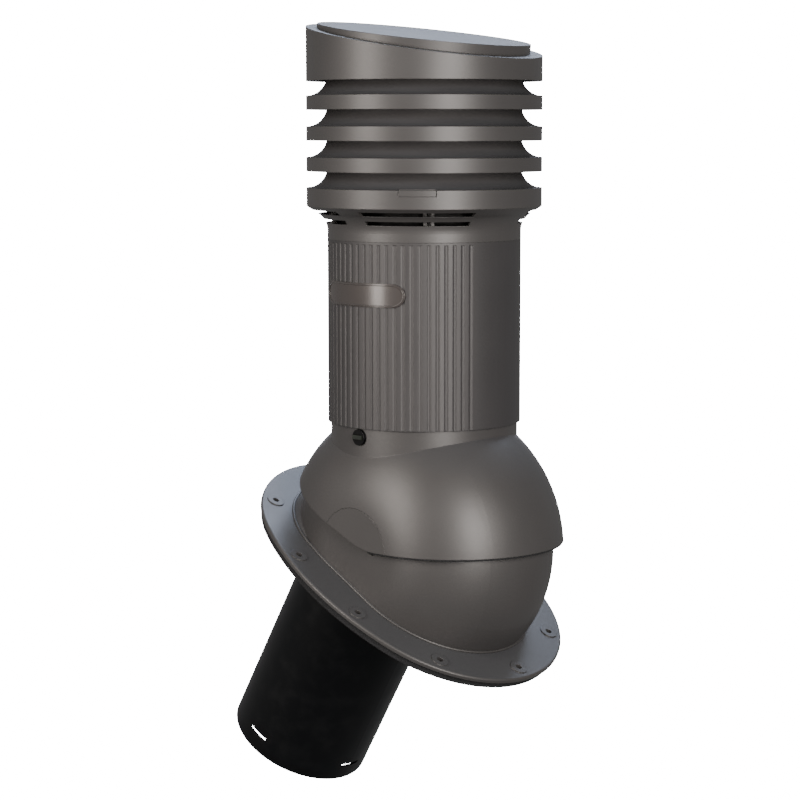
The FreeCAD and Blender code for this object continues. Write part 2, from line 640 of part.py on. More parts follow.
def make_hood():
    """Dome that covers the bowl and turns with the column. Its neck carries the outer shell."""
    body = new_body("hood", "column")
    barrel(body, "HoodOutside", "0", ADD_TURN)
    neck = new_sketch(body, "Neck", "XZ_Plane")
    rectangle(neck, "0", "neck_radius", "0", "neck_top")
    turn_about(body, ADD_TURN, neck)
    barrel(body, "HoodInside", "hood_wall", CUT_TURN)
    bore = new_sketch(body, "NeckBore", "XZ_Plane")
    rectangle(bore, "0", "bore_radius", "arm_half_width", "neck_top + hood_radius")
    turn_about(body, CUT_TURN, bore)
    deck = new_sketch(body, "NeckDeck", "XZ_Plane")
    rectangle(deck, "duct_hole_radius", "bore_radius + hood_wall / 2", "neck_top - deck_thickness", "neck_top")
    turn_about(body, ADD_TURN, deck)
    for name, inner, outer, radius, kind in (
            ("ClampPad", "pad_face", "(side_half - hood_wall / 2)", "(cover_radius + clamp_pad_margin)", ADD_RUN),
            ("CoverRecess", "recess_floor", "(side_half + hood_wall)", "cover_radius", CUT_RUN)):
        for side, start in (("Front", inner), ("Rear", f"-{outer}")):
            disc = new_sketch(body, side + name, "XZ_Plane", ("0", "0", start))
            circle(disc, "cover_x", "cover_z", radius)
            extrude(body, kind, disc, f"{outer} - {inner}", backwards=kind == CUT_RUN)
    rim_cut(body, "RimLine")
    for name, start in (("FrontArm", "arm_inner_face"), ("RearArm", "-arm_outer_face")):
        arm = new_sketch(body, name, "XZ_Plane", ("0", "0", start))
        outline(arm, [("arm_half_width", "arm_top"), ("-arm_half_width", "arm_top"),
                      ("-arm_half_width", "0", "arm_half_width", 1), ("0", "-arm_half_width", "arm_half_width", 1),
                      ("arm_half_width", "0")])
        extrude(body, ADD_RUN, arm, "arm_thickness")
    root_face = "(bore_radius + hood_wall / 3)"
    for name, start in (("FrontArmRoot", "arm_inner_face"), ("RearArmRoot", f"-{root_face}")):
        root = new_sketch(body, name, "XZ_Plane", ("0", "0", start))
        rectangle(root, "-arm_half_width", "arm_half_width", "arm_root_bottom", "arm_top")
        extrude(body, ADD_RUN, root, f"{root_face} - arm_inner_face")
    side_discs(body, "HoodPivotHoles", CUT_TURN, "(pivot_bolt_radius + running_gap / 6)",
               "(arm_inner_face - hood_wall)", "(arm_outer_face + hood_wall)")
    clamp_holes = new_sketch(body, "ClampHoles", "XZ_Plane")
    circle(clamp_holes, "clamp_x", "clamp_z", "clamp_bolt_radius + running_gap / 6")
    extrude(body, CUT_RUN, clamp_holes, "4 * hood_radius", both=True)
    window = new_sketch(body, "LevelHole", "XZ_Plane")
    circle(window, "0", "level_height", "level_radius")
    extrude(body, CUT_RUN, window, "2 * neck_radius", backwards=True)


def make_pivots():
    """On each side a shoulder bolt that the hood turns on, and a clamp screw under a cover that lies flush."""
    for side, sign in (("front", "-"), ("rear", "")):
        front = sign == "-"
        bolt = new_body(f"pivot_bolt_{side}", "roof")
        section = new_sketch(bolt, f"PivotBolt{side}", "XY_Plane", AT_PIVOT)
        head_end = "(arm_inner_face - bolt_head_height)"
        outline(section, [(x, f"{sign}{y}") for x, y in
                          (("0", head_end), ("bolt_head_radius", head_end), ("bolt_head_radius", "arm_inner_face"),
                           ("pivot_bolt_radius", "arm_inner_face"), ("pivot_bolt_radius", "bolt_tip"),
                           ("0", "bolt_tip"))])
        turn_about(bolt, ADD_TURN, section)

        def stub(body, name, radius, inner, outer):
            """A round stub about the clamp hole, from the inner to the outer distance from the middle plane."""
            start = inner if front else f"-({outer})"
            sketch = new_sketch(body, name, "XZ_Plane", ("0", "0", start))
            circle(sketch, "clamp_x", "clamp_z", radius)
            return sketch, f"({outer}) - ({inner})"
        screw = new_body(f"clamp_screw_{side}", "column")
        nut_face = "(bowl_side - bowl_wall)"
        shank = stub(screw, f"ClampShank{side}", "clamp_bolt_radius", f"{nut_face} - nut_height", "recess_floor")
        extrude(screw, ADD_RUN, *shank)
        head = stub(screw, f"ClampHead{side}", "clamp_head_radius", "recess_floor",
                    "recess_floor + clamp_head_height")
        extrude(screw, ADD_RUN, *head)
        nut = new_body(f"clamp_nut_{side}", "column")
        inner, outer = f"({nut_face} - nut_height)", nut_face
        sketch = new_sketch(nut, f"ClampNut{side}", "XZ_Plane", ("0", "0", inner if front else f"-{outer}"))
        rectangle(sketch, "clamp_x - nut_half", "clamp_x + nut_half", "clamp_z - nut_half", "clamp_z + nut_half")
        circle(sketch, "clamp_x", "clamp_z", "clamp_bolt_radius + running_gap / 6")
        extrude(nut, ADD_RUN, sketch, "nut_height")
        cover = new_body(f"side_cover_{side}", "column")
        disc = new_sketch(cover, f"CoverDisc{side}", "XZ_Plane",
                          ("0", "0", "recess_floor" if front else "-side_half"))
        circle(disc, "cover_x", "cover_z", "cover_radius - running_gap / 2")
        extrude(cover, ADD_RUN, disc, "cover_recess")
        rim_cut(cover, f"CoverRim{side}")
        room = stub(cover, f"HeadRoom{side}", "clamp_head_radius + 4 * running_gap", "recess_floor - running_gap",
                    "recess_floor + clamp_head_height + running_gap")
        extrude(cover, CUT_RUN, *room, backwards=True)


def make_outer_shell():
    """Ribbed tube that stands on the hood's neck through a thin seal ring."""
    body = new_body("outer_shell", "column")
    wall = new_sketch(body, "ShellWall", "XZ_Plane")
    outline(wall, [("shell_bore", "shell_bottom"), ("shell_radius", "shell_bottom"),
                   ("shell_radius", "shell_top"), ("shoulder_bore", "shell_top"),
                   ("shoulder_bore", "shoulder_height"), ("shell_bore", "shoulder_height")])
    turn_about(body, ADD_TURN, wall)
    flute = new_sketch(body, "Flute", "XY_Plane", turn="-flute_span / 2")
    circle(flute, "0", "-(shell_radius - flute_depth + flute_arc)", "flute_arc")
    cut = extrude(body, CUT_RUN, flute, "shell_top - flute_end", backwards=True)
    pattern = body.newObject("PartDesign::PolarPattern", "Flutes")
    pattern.Originals = [cut]
    pattern.Axis = (flute, ["N_Axis"])
    pattern.Angle = value("flute_span")
    pattern.setExpression("Angle", bound("flute_span"))
    pattern.Occurrences = int(value("flute_count"))
    pattern.setExpression("Occurrences", bound("flute_count"))
    body.Tip = pattern
    turned_ring("neck_seal", "column", "neck_radius - seal_width", "neck_radius", "neck_top", "shoulder_height")


def make_name_plate():
    """Bare pill-shaped plate bent round the ribs."""
    body = new_body("name_plate", "column")
    pill = new_sketch(body, "Pill", "XZ_Plane", ("0", "shell_bottom + plate_rise", "0"))
    straight = "(name_plate_half_width - name_plate_half_height)"
    high = "name_plate_half_height"
    outline(pill, [(f"-{straight}", f"-{high}"), (straight, f"-{high}", high, 1), (f"{straight} + {high}", "0", high, 1),
                   (straight, high), (f"-{straight}", high, high, 1), (f"-{straight} - {high}", "0", high, 1)])
    extrude(body, ADD_RUN, pill, "2 * shell_radius")
    inside = new_sketch(body, "PlateInside", "XZ_Plane")
    rectangle(inside, "0", "shell_radius + running_gap / 3", "0", "2 * shell_top")
    turn_about(body, CUT_TURN, inside)
    outside = new_sketch(body, "PlateOutside", "XZ_Plane")
    rectangle(outside, "shell_radius + plate_radius_offset", "4 * shell_radius", "0", "2 * shell_top")
    turn_about(body, CUT_TURN, outside)


def make_level():
    """Small spirit level in the neck: a round holder with a vial across it."""
    holder = new_body("level_holder", "column")
    face = "(neck_radius + level_proud)"
    disc = new_sketch(holder, "HolderDisc", "XZ_Plane", ("0", "level_height", face))
    circle(disc, "0", "0", "level_radius - running_gap / 2")
    extrude(holder, ADD_RUN, disc, "level_depth", backwards=True)
    trough = new_sketch(holder, "VialTrough", "YZ_Plane")
    circle(trough, f"-{face}", "level_height", "vial_radius + running_gap / 6")
    extrude(holder, CUT_RUN, trough, "vial_length", both=True)
    vial = new_body("level_vial", "column")
    glass = new_sketch(vial, "VialRound", "YZ_Plane")
    circle(glass, f"-({face} - running_gap / 6)", "level_height", "vial_radius")
    extrude(vial, ADD_RUN, glass, "vial_length - running_gap", both=True)


def make_elbow():
    """Corrugated tube that joins the two ducts. It bends when the hood tilts."""
    body = new_body("flex_elbow", "column")

    def tube(name, outside, at, axis=(0, 0, 1), turn="0", centre="0", inside="elbow_inside"):
        sketch = new_sketch(body, name, "XY_Plane", at, axis, turn)
        circle(sketch, centre, "0", outside)
        circle(sketch, centre, "0", inside)
        return sketch
    hub, level = ("-elbow_bend", "0", "duct_bottom"), (0, 1, 0)
    bend = tube("Bend", "elbow_outside", hub, centre="elbow_bend")
    turn_about(body, ADD_TURN, bend, angle="roof_pitch", middle=False)
    upper = tube("UpperSleeve", "elbow_outside", ("0", "0", "duct_bottom"))
    extrude(body, ADD_RUN, upper, "elbow_sleeve")
    lower_end = ("-elbow_tangent * sin(roof_pitch)", "0", "knee_height - elbow_tangent * cos(roof_pitch)")
    lower = tube("LowerSleeve", "elbow_outside", lower_end, level, "roof_pitch",
                 inside="(duct_end_radius + 2 * running_gap / 3)")
    extrude(body, ADD_RUN, lower, "elbow_sleeve", backwards=True)
    for index in range(int(value("elbow_ridge_count"))):
        angle = f"(roof_pitch - elbow_ridge_angle) * ({index} + 0.5) / elbow_ridge_count"
        ridge = tube(f"Ridge{index}", "(elbow_outside + elbow_ridge)", hub, level, angle, "elbow_bend")
        turn_about(body, ADD_TURN, ridge, angle="elbow_ridge_angle", middle=False)


def make_clamp(label, frame, middle):
    """Hose clamp: a band with a screw block on its uphill side."""
    band = new_body(label, frame)
    ring = new_sketch(band, label + "Band", "XZ_Plane", ("0", middle, "0"))
    rectangle(ring, "elbow_outside", "elbow_outside + clamp_thickness", "-clamp_width / 2", "clamp_width / 2")
    turn_about(band, ADD_TURN, ring)
    block = new_sketch(band, label + "Block", "XY_Plane", ("0", "0", middle))
    rectangle(block, "-(elbow_outside + clamp_thickness + clamp_block)", "-(elbow_outside + clamp_thickness / 2)",
              "-clamp_block", "clamp_block")
    extrude(band, ADD_RUN, block, "clamp_width", both=True)
    tunnel = new_sketch(band, label + "Tunnel", "XZ_Plane", ("0", middle, "0"))
    screw_x = "-(elbow_outside + clamp_thickness + clamp_block / 2)"
    circle(tunnel, screw_x, "0", "clamp_screw_radius + running_gap / 6")
    extrude(band, CUT_RUN, tunnel, "4 * clamp_block", both=True)
    screw = new_body(label + "_screw", frame)
    shank = new_sketch(screw, label + "Shank", "XZ_Plane", ("0", middle, "0"))
    circle(shank, screw_x, "0", "clamp_screw_radius")
    extrude(screw, ADD_RUN, shank, "clamp_screw_length", both=True)
    head = new_sketch(screw, label + "Head", "XZ_Plane", ("0", middle, "clamp_screw_length / 2"))
    circle(head, screw_x, "0", "clamp_screw_radius * 1.5")
    extrude(screw, ADD_RUN, head, "clamp_block / 2")


def tie_bosses(body, name, bottom, top):
    """Four bosses with through holes, in which the tie screws run."""
    bosses = new_sketch(body, name + "Bosses", "XY_Plane", ("0", "0", bottom))
    for x, y in tie_places():
        circle(bosses, x, y, "tie_boss_radius")
    extrude(body, ADD_RUN, bosses, f"({top}) - ({bottom})")


def tie_holes(body, name, bottom, top):
    holes = new_sketch(body, name + "TieHoles", "XY_Plane", ("0", "0", bottom))
    for x, y in tie_places():
        circle(holes, x, y, "tie_hole_radius")
    extrude(body, CUT_RUN, holes, f"({top}) - ({bottom})", backwards=True)


def flared_roof(top_of_band):
    """The concave roof of a louvre, from the band's top edge up to the upstand and back down inside."""
    rise = f"({top_of_band} + flare_rise)"
    return [("band_radius", top_of_band, "flare_rise", -1), ("flare_radius", rise),
            ("flare_radius", f"{rise} + flare_upstand"), ("flare_radius - flare_wall", f"{rise} + flare_upstand"),
            ("flare_radius - flare_wall", rise, "flare_rise + flare_wall", 1),
            ("band_radius - band_wall", f"{rise} - inner_rise")]


def make_cap_base():
    """Lowest ring of the cap: a collar with vent slots, a band, a flared roof and an inner deck."""
    body = new_body("cap_base", "column")
    section = new_sketch(body, "CapBaseSection", "XZ_Plane")
    spigot = "(shoulder_bore - running_gap)"
    inner_sweep = "(collar_sweep + flare_wall)"
    sweep_centre = "(shell_radius + collar_sweep)"
    deck_top = "(collar_foot + deck_thickness)"
    inner_top_x = "(collar_top_out - flare_wall)"
    outline(section, [(f"{spigot} - spigot_wall", "shell_top - spigot_depth"), (spigot, "shell_top - spigot_depth"),
                      (spigot, "shell_top"), ("shell_radius", "shell_top"),
                      ("shell_radius", "collar_foot", "collar_sweep", -1),
                      ("collar_top_out", "collar_top"), ("band_radius", "base_band_bottom"),
                      *flared_roof("base_band_top"),
                      ("band_radius - band_wall", "base_band_bottom + flare_wall"),
                      (inner_top_x, f"collar_foot + sqrt({inner_sweep} ^ 2 - ({sweep_centre} - {inner_top_x}) ^ 2)",
                       inner_sweep, 1),
                      (f"{sweep_centre} - sqrt({inner_sweep} ^ 2 - deck_thickness ^ 2)", deck_top),
                      ("duct_hole_radius", deck_top), ("duct_hole_radius", "collar_foot"),
                      (f"{spigot} - spigot_wall", "collar_foot")])
    turn_about(body, ADD_TURN, section)
    tie_bosses(body, "CapBase", "(collar_foot + deck_thickness / 2)",
               "(base_band_top + flare_rise + flare_upstand)")
    tie_holes(body, "CapBase", "(collar_foot - deck_thickness)",
              "(base_band_top + 2 * flare_rise)")
    heads = new_sketch(body, "TieHeads", "XY_Plane", ("0", "0", "collar_foot - deck_thickness"))
    for x, y in tie_places():
        circle(heads, x, y, "tie_head_radius + running_gap")
    extrude(body, CUT_RUN, heads, "deck_thickness + tie_head_height", backwards=True)
    slot_turn = "(slot_pillar_angle + slot_angle) / 2"
    slot_bottom = "(collar_foot + slot_rise)"
    for index, turn in enumerate((f"-90 + {slot_turn}", f"-90 - {slot_turn}", f"90 + {slot_turn}",
                                  f"90 - {slot_turn}")):
        slots = new_sketch(body, f"VentSlots{index}", "XZ_Plane", axis=(0, 1, 0), turn=turn)
        for step in ("0", "slot_spacing"):
            rectangle(slots, "neck_radius - flare_wall", "band_radius", f"{slot_bottom} - {step}",
                      f"{slot_bottom} - {step} + slot_height")
        turn_about(body, CUT_TURN, slots, angle="slot_angle")
    notch = new_sketch(body, "LatchNotch", "XZ_Plane", axis=(0, 1, 0), turn="latch_turn - 90")
    rectangle(notch, "band_radius - latch_depth - latch_gap", "band_radius + latch_depth",
              "base_band_top - latch_height", "base_band_top + latch_height / 2")
    turn_about(body, CUT_TURN, notch, angle="latch_angle")
    tab = new_body("latch_tab", "column")
    hook = new_sketch(tab, "LatchSection", "XZ_Plane", axis=(0, 1, 0), turn="latch_turn - 90")
    rectangle(hook, "band_radius - latch_depth", "band_radius + latch_gap", "base_band_top - latch_height",
              "base_band_top")
    turn_about(tab, ADD_TURN, hook, angle="latch_angle - latch_gap")


def make_louvre_rings():
    """Three alike: an outer band, a flared roof that sheds rain, and four tie bosses."""
    for number in range(1, 4):
        body = new_body(f"louvre_ring_{number}", "column")
        bottom = f"(lowest_band + {3 - number} * band_pitch)"
        section = new_sketch(body, f"LouvreSection{number}", "XZ_Plane", ("0", bottom, "0"))
        outline(section, [("band_radius - band_wall", "0"), ("band_radius", "0"), *flared_roof("band_height")])
        turn_about(body, ADD_TURN, section)
        tie_bosses(body, f"Louvre{number}", f"{bottom} + louvre_step - band_pitch", f"{bottom} + louvre_step")
        tie_holes(body, f"Louvre{number}", f"{bottom} + louvre_step - 2 * band_pitch", f"{bottom} + 2 * louvre_step")


def make_tie_screws():
    """Long screws that hold the louvre rings between the cap base and the cap."""
    head_bottom = "collar_foot"
    for number, (x, y) in enumerate(tie_places(), start=1):
        body = new_body(f"tie_screw_{number}", "column")
        sketch = new_sketch(body, f"TieScrew{number}", "XZ_Plane", (x, "0", f"-{y}"))
        outline(sketch, [("0", head_bottom), ("tie_head_radius", head_bottom),
                         ("tie_head_radius", f"{head_bottom} + tie_head_height"),
                         ("tie_screw_radius", f"{head_bottom} + tie_head_height"),
                         ("tie_screw_radius", "tie_screw_top"), ("0", "tie_screw_top")])
        turn_about(body, ADD_TURN, sketch)


def make_cap():
    """Cap skirt with a slanted top, and on it the raised lid, which slopes a little less."""
    shell = new_body("cap_shell", "column")
    high = "(cap_top + cap_axis_height)"
    skirt = new_sketch(shell, "CapSkirt", "XZ_Plane")
    rectangle(skirt, "band_radius - band_wall", "band_radius", "cap_bottom", high)
    turn_about(shell, ADD_TURN, skirt)
    plate = new_sketch(shell, "CapPlate", "XY_Plane", ("0", "0", "cap_top"), axis=(0, 1, 0), turn="cap_slope")
    circle(plate, "0", "0", "band_radius + 2 * band_wall")
    extrude(shell, ADD_RUN, plate, "cap_plate", backwards=True)
    tie_bosses(shell, "Cap", "cap_boss_bottom", high)
    trim = new_sketch(shell, "CapTrim", "XZ_Plane")
    rectangle(trim, "band_radius", "2 * band_radius", "cap_bottom - cap_gap", f"2 * {high}")
    turn_about(shell, CUT_TURN, trim)
    slant = new_sketch(shell, "CapSlant", "XY_Plane", ("0", "0", "cap_top"), axis=(0, 1, 0), turn="cap_slope")
    circle(slant, "0", "0", "2 * band_radius")
    extrude(shell, CUT_RUN, slant, high, backwards=True)
    tie_holes(shell, "Cap", "(cap_boss_bottom - cap_gap)", "(tie_screw_top + running_gap)")
    lid = new_body("cap_lid", "column")
    disc = new_sketch(lid, "LidDisc", "XY_Plane", ("0", "0", "lid_top"), axis=(0, 1, 0), turn="lid_slope")
    circle(disc, "0", "0", "lid_radius")
    extrude(lid, ADD_RUN, disc, "lid_depth", backwards=True)
    hollow = new_sketch(lid, "LidHollow", "XY_Plane", ("0", "0", "lid_top - lid_wall"), axis=(0, 1, 0),
                        turn="lid_slope")
    circle(hollow, "0", "0", "lid_radius - lid_wall")
    extrude(lid, CUT_RUN, hollow, "lid_depth")
    seat = new_sketch(lid, "LidSeat", "XY_Plane", ("0", "0", "cap_top"), axis=(0, 1, 0), turn="cap_slope")
    circle(seat, "0", "0", "2 * lid_radius")
    extrude(lid, CUT_RUN, seat, "2 * lid_depth")


make_roof_base()
make_roof_gasket()
make_duct_plate()
make_plate_screws()
make_lower_duct()
make_hood()
make_pivots()
make_outer_shell()
make_name_plate()
make_level()
make_elbow()
make_clamp("lower_clamp", "roof", "(lower_duct_top - elbow_sleeve / 2)")
make_clamp("upper_clamp", "column", "(duct_bottom + elbow_sleeve / 2)")
turned_ring("upright_duct", "column", "duct_radius - duct_wall", "duct_radius", "duct_bottom", "duct_top")
turned_ring("insulation_sleeve", "column", "duct_hole_radius", "insulation_radius", "neck_top", "collar_foot")
make_cap_base()
make_louvre_rings()
make_tie_screws()
make_cap()
doc.recompute()

for item in doc.Objects:
    if "Invalid" in item.State or "Error" in item.State:
        raise RuntimeError(f"{item.Name} failed: {item.State}")
for node in nodes:
    if node.Shape.isNull() or not node.Shape.isValid() or not node.Shape.Solids:
        raise RuntimeError(f"{node.Label} has no sound solid")
    node.Shape.exportStep(f"parts/{node.Label}.step")
    print(node.Label, len(node.Shape.Solids), "solid", round(node.Shape.Volume), "cubic mm")
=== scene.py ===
# %% [markdown]
# # A roof vent stack, dressed around its CAD frame
# This lesson turns a plain engineering model into a picture of the real thing. The model is the outlet that carries
# exhaust air through a pitched roof: a black duct, an oval flange with a bowl, a hood that tilts on the bowl, a
# ribbed column and a cap of louvre rings. Its solids could be modelled here by hand, but they are exact already, so
# the script keeps them and adds finishes, the few fine pieces that they lack, a camera and lights.

import json
import math

import bmesh
import bpy
from mathutils import Matrix, Vector
from mathutils.bvhtree import BVHTree


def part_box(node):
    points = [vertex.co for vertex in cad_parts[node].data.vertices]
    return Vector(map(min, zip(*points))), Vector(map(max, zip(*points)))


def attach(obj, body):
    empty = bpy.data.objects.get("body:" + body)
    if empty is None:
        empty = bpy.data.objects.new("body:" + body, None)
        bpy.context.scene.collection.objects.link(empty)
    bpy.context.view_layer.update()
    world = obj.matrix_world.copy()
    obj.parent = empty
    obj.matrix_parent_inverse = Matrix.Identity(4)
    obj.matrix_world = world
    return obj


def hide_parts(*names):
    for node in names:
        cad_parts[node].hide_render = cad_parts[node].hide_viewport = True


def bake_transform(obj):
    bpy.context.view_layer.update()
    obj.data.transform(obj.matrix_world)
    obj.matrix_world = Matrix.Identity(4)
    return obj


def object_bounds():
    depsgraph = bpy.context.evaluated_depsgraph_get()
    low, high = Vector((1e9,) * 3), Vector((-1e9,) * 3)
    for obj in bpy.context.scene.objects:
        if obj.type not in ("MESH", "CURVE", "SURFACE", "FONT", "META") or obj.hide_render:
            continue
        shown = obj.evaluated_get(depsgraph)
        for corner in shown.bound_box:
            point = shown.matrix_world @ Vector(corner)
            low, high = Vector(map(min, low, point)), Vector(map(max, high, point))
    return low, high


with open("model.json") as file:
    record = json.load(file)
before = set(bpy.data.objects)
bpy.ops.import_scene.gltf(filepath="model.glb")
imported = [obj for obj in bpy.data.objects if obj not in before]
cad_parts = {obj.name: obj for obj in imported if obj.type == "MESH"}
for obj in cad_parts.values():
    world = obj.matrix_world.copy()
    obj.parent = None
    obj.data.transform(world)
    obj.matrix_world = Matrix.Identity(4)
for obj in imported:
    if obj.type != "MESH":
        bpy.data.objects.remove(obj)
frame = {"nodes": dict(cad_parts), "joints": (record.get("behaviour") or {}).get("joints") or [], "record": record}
nodes = frame["nodes"]
cad_low, cad_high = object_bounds()
print("pieces in the frame:", len(nodes))

# %% [markdown]
# Lengths on the real part are known in millimetres, and Blender's are in metres, so one value turns the first into
# the second. The hood tilts about a level line, and the joint in the record says where that line is. The column
# stands upright above it. The roof falls away towards +X, so the flange, the bowl and the duct belong to a second set
# of axes, turned by the roof's pitch about the point where the duct's axis meets the roof.

# %% Units and the two sets of axes
MM = 0.001
PIVOT = Vector(frame["joints"][0]["pos_m"])
ROOF_PITCH = math.radians(30)
ROOF_AXES = Matrix.Rotation(ROOF_PITCH, 4, "Y")
COLUMN_AXES = Matrix.Translation(PIVOT)
print("tilt axis at", [round(x, 4) for x in PIVOT])

# %% [markdown]
# The camera comes first, so that every later choice can be judged in its view. The photograph was taken from a
# distance with a long lens, looking slightly down. The lens and the camera's place were worked out from the ovals
# that the round rings make in the photograph: the higher a ring is against the camera, the flatter its oval.

# %% Camera at the photograph's angle
FRAME_SIDE = 800
FOCAL_LENGTH = 2250
COLUMN_LINE = 424.25
HORIZON = 125
AZIMUTH = math.radians(42.3)
DISTANCE = 2284.7 * MM
HEIGHT = 427.5 * MM

camera_data = bpy.data.cameras.new("photo_camera")
camera = bpy.data.objects.new("photo_camera", camera_data)
bpy.context.scene.collection.objects.link(camera)
bpy.context.scene.camera = camera
camera_data.sensor_width = 36
camera_data.lens = camera_data.sensor_width * FOCAL_LENGTH / FRAME_SIDE
camera_data.shift_x = (FRAME_SIDE / 2 - COLUMN_LINE) / FRAME_SIDE
camera_data.clip_start = 0.01
towards_camera = Vector((math.sin(AZIMUTH), -math.cos(AZIMUTH), 0))
camera.location = PIVOT + towards_camera * DISTANCE + Vector((0, 0, HEIGHT))
look_down = math.atan((FRAME_SIDE / 2 - HORIZON) / FOCAL_LENGTH)
camera.rotation_euler = (math.pi / 2 - look_down, 0, AZIMUTH)
print("lens", round(camera_data.lens, 2), "mm")

# %% [markdown]
# Colours are written as hex values, as a paint chart gives them. Those values are in sRGB, and shaders want linear
# light, so one function turns the one into the other. A second small function adds any node, with its settings and
# links, and a third starts a material from its main shader. Patterns read Object coordinates, which are metres here,
# so a pattern's scale is one divided by its real size.

# %% Colour and node helpers
def linear(hex_colour):
    """The linear RGBA colour of an sRGB hex value."""
    parts = [int(hex_colour[k:k + 2], 16) / 255 for k in (0, 2, 4)]
    return [x / 12.92 if x <= 0.04045 else ((x + 0.055) / 1.055) ** 2.4 for x in parts] + [1]


def add(tree, kind, inputs=None, **settings):
    """A new node; an input is a value, or a socket to link."""
    made = tree.nodes.new(kind)
    for name, value in settings.items():
        setattr(made, name, value)
    for name, value in (inputs or {}).items():
        if isinstance(value, bpy.types.NodeSocket):
            tree.links.new(value, made.inputs[name])
        else:
            made.inputs[name].default_value = value
    return made


def per_metre(millimetres):
    """The scale of a pattern whose features are this large."""
    return 1 / (millimetres * MM)


def new_material(name, **shader):
    """A material, its node tree, its main shader and its place on the object, in metres."""
    material = bpy.data.materials.new(name)
    material.use_nodes = True
    tree = material.node_tree
    main = tree.nodes["Principled BSDF"]
    for socket, value in shader.items():
        main.inputs[socket.replace("_", " ")].default_value = value
    place = add(tree, "ShaderNodeTexCoord").outputs["Object"]
    return material, tree, main, place


def noise(tree, place, size_mm, detail=2.0):
    """A soft noise whose blobs are about this large."""
    made = add(tree, "ShaderNodeTexNoise", {"Vector": place, "Scale": per_metre(size_mm), "Detail": detail})
    return made.outputs["Fac"]


def remap(tree, value, low, high, start=0.0, end=1.0):
    """A value carried from one range to another."""
    return add(tree, "ShaderNodeMapRange", {"Value": value, "From Min": start, "From Max": end, "To Min": low,
                                            "To Max": high}).outputs["Result"]


def shade(tree, factor, first, second, blend="MIX"):
    """Two colours, or a colour and a socket, mixed by a factor."""
    return add(tree, "ShaderNodeMix", {"Factor": factor, "A": first, "B": second}, data_type="RGBA",
               blend_type=blend).outputs["Result"]


# %% [markdown]
# A moulded or cut edge is never perfectly sharp. Its small rounding catches the light as a thin bright line, and
# without it a model looks like paper. The frame's solids have sharp edges, so the rounding is drawn by the shader: a
# Bevel node bends the normal near each edge as if the edge had that radius.

# %% Rounded edges and surface grain
def finish_surface(tree, main, height, strength, depth_mm, edge_mm):
    """Gives the main shader a bumpy surface with softened edges."""
    soft_edge = add(tree, "ShaderNodeBevel", {"Radius": edge_mm * MM}, samples=4)
    bump = add(tree, "ShaderNodeBump", {"Height": height, "Strength": strength, "Distance": depth_mm * MM,
                                        "Normal": soft_edge.outputs["Normal"]})
    tree.links.new(bump.outputs["Normal"], main.inputs["Normal"])


# %% [markdown]
# The grey pieces are injection-moulded polypropylene, coloured through in anthracite. The mould was spark-eroded, so
# the skin has a fine even grain that spreads highlights softly: satin, never glossy. Real grain is about 0.3 mm, too
# fine for this picture, so it is drawn at 1.4 mm. A slow mottling keeps large areas from looking like one flat tone,
# dust makes upward faces a little lighter and cooler, and painted shade darkens narrow gaps, such as the one under
# the hood: an Ambient Occlusion node turns the colour towards near black where surfaces crowd each other.

# %% Moulded polypropylene
def moulded_polypropylene(name, base="2a2929", dust="36393d", rough=0.46):
    material, tree, main, place = new_material(name, IOR=1.45, Specular_IOR_Level=0.42)
    mottle = noise(tree, place, 60, 3.0)
    colour = shade(tree, 1.0, linear(base), remap(tree, mottle, 0.9, 1.1), "MULTIPLY")
    normal = add(tree, "ShaderNodeNewGeometry").outputs["Normal"]
    up = add(tree, "ShaderNodeSeparateXYZ", {"Vector": normal}).outputs["Z"]
    settled = remap(tree, up, 0.0, 0.5, 0.5, 1.0)
    dusty = shade(tree, settled, colour, linear(dust))
    # Painted shade: an Ambient Occlusion node turns the colour towards 0c0c0c in narrow gaps and creases.
    crevice = add(tree, "ShaderNodeAmbientOcclusion", {"Distance": 6 * MM}, samples=4).outputs["AO"]
    painted_crevice_shade = shade(tree, remap(tree, crevice, 0.0, 1.0, 0.15, 0.6), linear("0c0c0c"), dusty)
    tree.links.new(painted_crevice_shade, main.inputs["Base Color"])
    tree.links.new(remap(tree, mottle, rough - 0.04, rough + 0.04), main.inputs["Roughness"])
    finish_surface(tree, main, noise(tree, place, 1.4), 0.1, 0.1, 0.9)
    return material


GREY = moulded_polypropylene("moulded_polypropylene")
PLATE_GREY = moulded_polypropylene("polished_polypropylene", base="2f2c2b", rough=0.24)
SHELL_GREY = moulded_polypropylene("extruded_shell_polypropylene", base="222122", rough=0.52)
LID_GREY = moulded_polypropylene("rain_washed_polypropylene", dust="25272a")
print("materials", GREY.name, PLATE_GREY.name, SHELL_GREY.name, LID_GREY.name)

# %% [markdown]
# The duct and its fittings are extruded polypropylene, black all through. Extrusion leaves a smoother skin than a
# grained mould, with very fine drawing lines along the pipe, and handling leaves faint scuffs that are a little
# duller than the rest. Noise that is stretched along the pipe gives the lines.

# %% Extruded black polypropylene
def extruded_polypropylene(name, base="020203"):
    material, tree, main, place = new_material(name, IOR=1.45, Specular_IOR_Level=0.17)
    turned = add(tree, "ShaderNodeMapping", {"Vector": place, "Rotation": (0, -ROOF_PITCH, 0), "Scale": (1, 1, 0.04)})
    lines = noise(tree, turned.outputs["Vector"], 3, 3.0)
    scuffs = noise(tree, place, 18, 6.0)
    worn = remap(tree, scuffs, 0.0, 1.0, 0.45, 0.8)
    tree.links.new(shade(tree, worn, linear(base), linear("060607")), main.inputs["Base Color"])
    tree.links.new(remap(tree, worn, 0.38, 0.46), main.inputs["Roughness"])
    finish_surface(tree, main, lines, 0.12, 0.15, 0.6)
    return material


BLACK = extruded_polypropylene("extruded_polypropylene")
print("material", BLACK.name)
